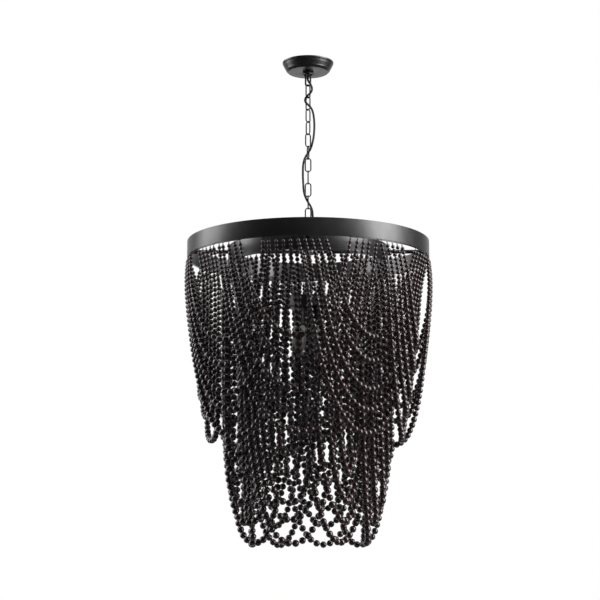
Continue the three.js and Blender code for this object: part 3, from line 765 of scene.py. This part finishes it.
cap = {
    "radius": 0.0068, "skirt": 0.001, "threadDepth": 0.00035, "threadSteps": 41, "stepsPerTurn": 8,
    "threadEnd": 0.006, "shoulder": (0.9, 0.004), "base": (0.5, 0.0015), "contact": 0.0028, "segments": 40,
}


def makePan(p):
    # a shallow turned cup, and a low cone as its lid
    bore, full, wall = p["bore"], p["radius"], p["wall"]
    low, top = nodeSpan("lamp_pan")
    cup = rounded([
        (bore, low + wall), (bore, low), (full - p["edge"], low), (full, low + p["edge"]), (full, top),
        (full - wall, top), (full - wall, low + p["innerEdge"]), (full - p["innerEdge"], low + wall),
    ], p["round"], steps=4)
    addPainted("lampPan", revolve(cup, p["segments"]), "frame_body", "lamp_pan")
    low, top = nodeSpan("pan_cover")
    lid = rounded([
        (bore, top), (bore, top - wall), (p["lidRise"], top - wall), (full, low), (full, low + wall),
        (p["lidRise"], top),
    ], p["lidRound"])
    addPainted("panLid", revolve(lid, p["segments"]), "frame_body", "pan_cover")


def makeFinial(f):
    # a turned knob: a squared sine as its swell, then a collar that eases out to its full radius
    low, top = nodeSpan("finial")
    t = np.linspace(0, 1, f["steps"])
    swell = np.sin(np.pi * np.clip((t - f["swellFrom"]) / f["swellLength"], 0, 1)) ** 2
    collar = f["collar"] - f["collarStep"] * np.exp(-((t - f["collarFrom"]) / f["collarEase"]))
    knob = np.where(t > f["collarFrom"], collar, f["neck"] + f["swell"] * swell)
    knob[:2] = 0, f["tip"]
    bore = [(f["bore"], top), (f["bore"], top - f["boreDepth"]), (0, top - f["boreDepth"])]
    profile = np.vstack([np.stack([knob, low + t * (top - low)], -1), bore])
    addPainted("stemFinial", revolve(profile, f["segments"]), "frame_body", "finial")


def holderProfile(number, h):
    # a neck through the pan, a ribbed side and a mouth that the bulb's cap screws into
    low, top = nodeSpan(f"lamp_holder_{number}")
    shoulder = nodeSpan("lamp_pan")[0] - h["panGap"]
    full, neck, edge = h["radius"], h["neck"], h["edge"]
    mouth, mouthEdge = cap["radius"] + h["capGap"], h["mouthEdge"]
    heights = np.linspace(shoulder - h["ribEnd"], low + h["ribStart"], h["ribs"])
    radii = full - h["ribDepth"] * (np.arange(h["ribs"]) % 2)
    return [
        (0, top), (neck - h["neckEdge"], top), (neck, top - h["neckEdge"]), (neck, shoulder),
        (full - edge, shoulder), (full, shoulder - edge), *zip(radii, heights), (full, low + edge),
        (full - edge, low), (mouth + mouthEdge, low), (mouth, low + mouthEdge),
        (mouth, low + h["depth"]), (0, low + h["depth"]),
    ]


def glassProfile(tip, b):
    # a flame: half a sine, leaned towards the cap and drawn in towards the tip
    neck = tip + b["length"]
    t = np.linspace(0, 1, b["steps"])[:-1]
    wave = np.sin(np.pi * np.clip(b["start"] + (1 - b["start"]) * t, 0, 1) ** b["lean"])
    flame = b["radius"] * wave ** b["fullness"] * (1 - b["taper"] * t)
    return [(0, neck + b["overlap"]), *zip(flame, neck - t * b["length"]), (0, tip)]


def capProfile(neck, top, c):
    # a skirt inside the glass, a thread as a cosine, and a stepped base
    full, foot = c["radius"], neck - c["skirt"]
    heights = np.linspace(neck, top - c["threadEnd"], c["threadSteps"])
    phase = np.arange(c["threadSteps"]) * 2 * np.pi / c["stepsPerTurn"]
    radii = full - c["threadDepth"] * (1 - np.cos(phase))
    steps = [(full * share, top - drop) for share, drop in (c["shoulder"], c["base"])]
    return [(0, foot), (full, foot), *zip(radii, heights), *steps, (c["contact"], top), (0, top)]


def makeLamp(number, v):
    # a holder and its bulb, set round the stem
    turn = radians(v["turn"] + 360 * (number - 1) / v["count"])
    centre = (v["circle"] * np.sin(turn), -v["circle"] * np.cos(turn))
    shape = revolve(holderProfile(number, holder), holder["segments"], centre)
    addPiece(f"lampHolder_{number}", [shape], [holderPlastic], "frame_body",
             [f"lamp_holder_{number}"])
    tip, top = nodeSpan(f"bulb_{number}")
    glass = revolve(glassProfile(tip, bulb), bulb["segments"], centre)
    screw = revolve(capProfile(tip + bulb["length"], top, cap), cap["segments"], centre)
    addPiece(f"candleBulb_{number}", [glass, screw], [frostedGlass, capMetal], f"lamp_{number}",
             [f"bulb_{number}"])


makePan(pan)
makeFinial(finial)
for lampNumber in range(1, lamps["count"] + 1):
    makeLamp(lampNumber, lamps)
print("lamps made")

# bead swags: five strands to a set, the longest first. The sets hang in turn on the radii in rows;
# bottoms are measured down from the top of the outer ring; a strand bows outward on one half and inward
# on the other; beads holds the sizes at the ends and at the foot, and growth how soon they widen

upperTier = {
    "name": "upper", "sets": 9, "phase": 33.5, "ring": "outer_ring", "rows": (0.2985,), "seed": 13,
    "halfAngles": [40 - 3.2 * (i + 0.5) for i in range(5)], "bottoms": (0.493, 0.434, 0.392, 0.325, 0.27),
    "outward": 0.0135, "inwards": (0.0135, 0.0135, 0.0135, 0.0135, 0.0135),
    "beads": (0.0096, 0.0166), "growth": 1.0,
}
lowerTier = {
    "name": "lower", "sets": 8, "phase": 30.0, "ring": "inner_ring", "rows": (0.197, 0.1925), "seed": 29,
    "halfAngles": [45 - 9 * (i + 0.25) for i in range(5)], "bottoms": (0.741, 0.69, 0.647, 0.581, 0.535),
    "outward": 0.0185, "inwards": (0.016, 0.019, 0.0235, 0.0235, 0.024),
    "beads": (0.0104, 0.0172), "growth": 4.0,
}
hanging = {
    "seat": 0.0003, "neck": 0.006, "leastBend": 0.009, "turnShare": 0.27, "bowRamp": 0.06, "samples": 900,
    "slip": 0.45, "droop": 0.0035, "cord": 0.0006, "cordStart": 0.0035, "cordSides": 5, "cordStride": 9,
    "ratios": (0.05, 12, 24000),
}
rail = {"width": 0.003, "thickness": 0.002, "round": 0.3, "stepsPerDegree": 1.5, "spare": 0.002}
eye = {"radius": 0.0017, "drop": 0.0019, "wire": 0.00045, "steps": 16, "sides": 6}
knot = {"radius": 0.0013, "height": 0.0019, "drop": 0.0045, "turn": 0.25, "turnWidth": 0.5, "steps": 8,
        "segments": 10}
bead = {
    "segments": 12, "bands": 5, "hole": 0.208, "boreEnd": 0.72, "length": 0.97, "sizeSpread": 0.035,
    "tilt": 0.12, "toneShape": (1.6, 2.6), "settlings": 6,
}
ringTop = nodeSpan("outer_ring")[1]


def around(angle, radius, z):
    # a point at an angle from the front, at a radius and a height
    return np.array([radius * np.sin(radians(angle)), -radius * np.cos(radians(angle)), z])


def hangRatio(halfSpan, sag, h):
    # how deeply a catenary hangs, read from a table of its formula, and eased where it would fold;
    # ratios holds the table's two ends and its length
    k = np.linspace(*h["ratios"])
    free = np.interp(sag / halfSpan, (np.cosh(k) - 1) / k, k)
    if halfSpan / free > h["leastBend"]:
        return free
    return np.interp(h["leastBend"] * sag / halfSpan**2, (np.cosh(k) - 1) / k**2, k)


def strandLine(centre, half, radius, top, bottom, bows, h):
    # a catenary in the plane of its two ends, its halves bowed out and in
    out, along = around(centre, 1, 0), around(centre + 90, 1, 0)
    halfSpan, sag = radius * np.sin(radians(half)), top - bottom
    k = hangRatio(halfSpan, sag, h)
    u = np.linspace(-1, 1, h["samples"])
    x = np.sign(u) * np.arcsinh(np.sinh(k) * np.abs(u)) / k
    drop = sag * (1 - (np.cosh(k * x) - 1) / (np.cosh(k) - 1))
    bow = -np.where(x < 0, bows[0], bows[1]) * np.tanh(x / h["turnShare"]) * np.tanh(drop / h["bowRamp"])
    line = (radius * np.cos(radians(half)) + bow)[:, None] * out + (halfSpan * x)[:, None] * along
    line[:, 2] = top - drop
    return line, out


def beadShape(b):
    # a sphere flattened a little along its bore, its ends turned in to the bore
    angle = np.linspace(b["hole"], np.pi - b["hole"], b["bands"] + 1)
    profile = np.stack([np.sin(angle), b["length"] * np.cos(angle)], -1)
    return revolve(np.vstack([[0, b["boreEnd"]], profile, [0, -b["boreEnd"]]]), b["segments"])


def unit(vectors):
    # each vector divided by its length
    return vectors / np.linalg.norm(vectors, axis=1)[:, None]


def beadRow(line, tier, b, rng, shape):
    # beads that touch along the line: the count of beads is the integral of length over size,
    # and their places settle until each gap is the mean of two sizes
    step = np.linalg.norm(np.diff(line, axis=0), axis=1)
    place = np.concatenate([[0], np.cumsum(step)])
    depth = (line[0, 2] - line[:, 2]) / (line[0, 2] - line[:, 2].min())
    small, large = tier["beads"]
    size = small + (large - small) * (1 - (1 - depth) ** tier["growth"])
    count = np.concatenate([[0], np.cumsum(step / ((size[1:] + size[:-1]) / 2))])
    total = int(round(count[-1]))
    at = np.interp((np.arange(total) + 0.5) / total * count[-1], count, place)
    for _ in range(b["settlings"]):
        centre = np.stack([np.interp(at, place, line[:, k]) for k in range(3)], -1)
        span = np.linalg.norm(np.diff(centre, axis=0), axis=1)
        width = np.interp(at, place, size)
        wanted = np.diff(at) * (width[1:] + width[:-1]) / 2 / span
        at = at[0] + np.concatenate([[0], np.cumsum(wanted)]) * (place[-1] - 2 * at[0]) / wanted.sum()
    heading = np.stack([np.interp(at, place, np.gradient(line[:, k])) for k in range(3)], -1)
    heading += rng.normal(0, b["tilt"], heading.shape) * np.linalg.norm(heading, axis=1)[:, None]
    heading = unit(heading)
    first = unit(np.cross(heading, rng.normal(0, 1, heading.shape)))
    second = np.cross(heading, first)
    radius = np.interp(at, place, size) / 2 * (1 + rng.uniform(-b["sizeSpread"], b["sizeSpread"], total))
    turned = np.stack([first, second, heading], -2)
    points = centre[:, None] + radius[:, None, None] * np.einsum("vk,nkj->nvj", shape[0], turned)
    offset = (np.arange(total) * len(shape[0]))[:, None, None]
    faces = [(f[None] + offset).reshape(-1, f.shape[1]) for f in shape[1]]
    tones = np.repeat(rng.beta(*b["toneShape"], total), len(shape[0]))
    return (points.reshape(-1, 3), faces), tones


def railShape(radius, low, high, top, r):
    # a flat strip with eased edges, bent round under the ring from one angle to another
    turn = np.radians(np.linspace(low, high, int((high - low) * r["stepsPerDegree"]) + 2))[:, None]
    section = rounded([(-1, -1), (1, -1), (1, 1), (-1, 1)], r["round"], steps=2)
    reach = radius + section[:, 0] * r["width"] / 2
    z = top + (section[:, 1] - 1) * r["thickness"] / 2
    points = np.stack([np.sin(turn) * reach, -np.cos(turn) * reach, z + 0 * turn], -1).reshape(-1, 3)
    return points, outward(points, tubeFaces(len(turn), len(section)))


def eyeShape(foot, e):
    # a small ring of wire that hangs under the rail and faces outwards
    out = unit(foot[None] * [1, 1, 0])[0]
    turn = np.linspace(0, 2 * np.pi, e["steps"], endpoint=False)[:, None]
    level, upright = np.cross([0, 0, 1], out), np.array([0, 0, 1])
    circle = foot - e["drop"] * upright + e["radius"] * (np.cos(turn) * level + np.sin(turn) * upright)
    return sweep(circle, e["wire"], e["sides"], out, closed=True)


def knotShape(foot, n):
    # a lump of wound cord: a small egg with a turn raised round its middle
    t = np.linspace(0, np.pi, n["steps"])
    r = n["radius"] * np.sin(t) * (1 + n["turn"] * np.exp(-(((t - np.pi / 2) / n["turnWidth"]) ** 2)))
    r[0] = r[-1] = 0
    points, faces = revolve(np.stack([r, n["height"] * np.cos(t)], -1), n["segments"])
    return points + foot - [0, 0, n["drop"]], faces


def makeSwags(tier, number, h):
    # one set: its strands of beads on their cords, tied in eyes under two lengths of rail
    railTop = nodeSpan(tier["ring"])[0] - h["seat"]
    railBottom = railTop - rail["thickness"]
    top = railBottom - h["neck"]
    radius = tier["rows"][number % len(tier["rows"])]
    centre = tier["phase"] + 360 / tier["sets"] * number
    rng = np.random.default_rng(tier["seed"] * 100 + number)
    shape = beadShape(bead)
    rows, tones, cords, metal = [], [], [], []
    for half, bottom, inward in zip(tier["halfAngles"], tier["bottoms"], tier["inwards"]):
        slip, droop = rng.uniform(-1, 1, 2) * (h["slip"], h["droop"])
        bows = (tier["outward"], inward)
        line, out = strandLine(centre + slip, half, radius, top, ringTop - bottom - droop, bows, h)
        row, tone = beadRow(line, tier, bead, rng, shape)
        rows.append(row)
        tones.append(tone)
        ends = [np.array([p[0], p[1], railBottom]) for p in (line[0], line[-1])]
        start, finish = (end - [0, 0, h["cordStart"]] for end in ends)
        path = np.vstack([start, line[::h["cordStride"]], finish])
        cords.append(sweep(path, h["cord"], h["cordSides"], out))
        cords += [knotShape(end, knot) for end in ends]
        metal += [eyeShape(end, eye) for end in ends]
    spare = np.degrees(rail["spare"] / radius)
    reaches = (tier["halfAngles"][0] + spare, tier["halfAngles"][-1] - spare)
    for side in (-1, 1):
        low, high = sorted(centre + side * reach for reach in reaches)
        metal.append(railShape(radius, low, high, railTop, rail))
    wood, cord, iron = joined(rows), joined(cords), joined(metal)
    tone = np.concatenate(tones + [np.zeros(len(cord[0]) + len(iron[0]))])
    addPiece(f"{tier['name']}Beads_{number + 1}", [wood, cord, iron], [stainedWood, beadCord, charcoalPaint],
             "frame_body", [f"{tier['name']}_swags_{number + 1}"], sharp=70, tones=tone)
    return len(wood[0]) // len(shape[0])


beadCount = sum(makeSwags(tier, n, hanging) for tier in (upperTier, lowerTier) for n in range(tier["sets"]))
print("swags made:", beadCount, "beads")

# floor, light and backdrop

studio = {
    "floor": -4.0, "floorReach": 6.0, "floorColour": (0.25, 0.25, 0.25, 1), "floorRoughness": 0.8,
    "floorWhite": (0.75, 1.0), "floorFade": (4.5, 7.0), "mirroredFloor": 0.05,
    "worldLight": 0.035, "backLight": 1.0, "backFrom": (0.68, 0.95), "aim": (0, 0, -0.75), "spread": 110,
    "lights": (
        {"name": "leftBox", "at": (-3.25, 0.7, 0.5), "size": (1.8, 5.6), "power": 50},
        {"name": "rightBox", "at": (3.15, -1.0, 0.5), "size": (2.0, 5.6), "power": 100},
        {"name": "topBox", "at": (0.0, -0.6, 1.8), "size": (1.2, 1.2), "power": 5},
    ),
}


def paleFloor(tree, shader, s):
    # the floor's own light and shadow, whitened where the camera or glass sees it and a little in mirrors;
    # its rim fades into the white world
    path = addNode(tree, "ShaderNodeLightPath").outputs
    place = addNode(tree, "ShaderNodeTexCoord").outputs["Object"]
    reach = addNode(tree, "ShaderNodeVectorMath", {0: place}, operation="LENGTH").outputs["Value"]
    seen = addMath(tree, "MAXIMUM", path["Is Camera Ray"], path["Is Transmission Ray"])
    clear = addMath(tree, "MULTIPLY", seen, addRange(tree, reach, s["floorFade"], s["floorWhite"]))
    share = addMath(tree, "MULTIPLY_ADD", path["Is Glossy Ray"], s["mirroredFloor"], clear)
    white = addNode(tree, "ShaderNodeEmission", {"Color": (1, 1, 1, 1), "Strength": 1.0})
    mix = addNode(tree, "ShaderNodeMixShader", {0: share, 1: shader.outputs[0], 2: white.outputs[0]})
    tree.links.new(mix.outputs[0], tree.nodes["Material Output"].inputs["Surface"])


def makeFloor(s):
    # one large square, far below the lowest bead
    reach, height = s["floorReach"], s["floor"]
    corners = [(x * reach, y * reach, height) for x, y in ((-1, -1), (1, -1), (1, 1), (-1, 1))]
    mesh = bpy.data.meshes.new("floor")
    mesh.from_pydata(corners, [], [(0, 1, 2, 3)])
    material, tree, shader = newMaterial("floorPaint")
    setInputs(tree, shader, {"Base Color": s["floorColour"], "Roughness": s["floorRoughness"]})
    paleFloor(tree, shader, s)
    mesh.materials.append(material)
    floor = bpy.data.objects.new("floor", mesh)
    scene.collection.objects.link(floor)


def makeWorld(s):
    # white to the camera; to mirrors and glass white behind the object and dim behind the camera
    world = bpy.data.worlds.new("studioWorld")
    world.use_nodes = True
    scene.world = world
    tree = world.node_tree
    path = addNode(tree, "ShaderNodeLightPath").outputs
    place = addNode(tree, "ShaderNodeTexCoord").outputs["Generated"]
    back = addNode(tree, "ShaderNodeSeparateXYZ", {"Vector": place}).outputs["Y"]
    rear = addRange(tree, back, s["backFrom"], (s["worldLight"], s["backLight"]))
    mirrored = addMath(tree, "MAXIMUM", path["Is Glossy Ray"], path["Is Transmission Ray"])
    level = addNode(tree, "ShaderNodeMix", {0: mirrored, 2: s["worldLight"], 3: rear})
    strength = addNode(tree, "ShaderNodeMix", {0: path["Is Camera Ray"], 2: level.outputs[0], 3: 1.0})
    setInputs(tree, tree.nodes["Background"], {"Color": (1, 1, 1, 1), "Strength": strength.outputs[0]})


def makeLights(s):
    # flat boxes of light, each turned to the middle of the object
    for lamp in s["lights"]:
        light = bpy.data.lights.new(lamp["name"], "AREA")
        light.shape = "RECTANGLE"
        light.size, light.size_y = lamp["size"]
        light.energy = lamp["power"]
        light.spread = radians(s["spread"])
        box = bpy.data.objects.new(lamp["name"], light)
        box.location = lamp["at"]
        aim = Vector(s["aim"]) - Vector(lamp["at"])
        box.rotation_euler = aim.to_track_quat("-Z", "Y").to_euler()
        scene.collection.objects.link(box)


makeWorld(studio)
makeFloor(studio)
makeLights(studio)

print("done")
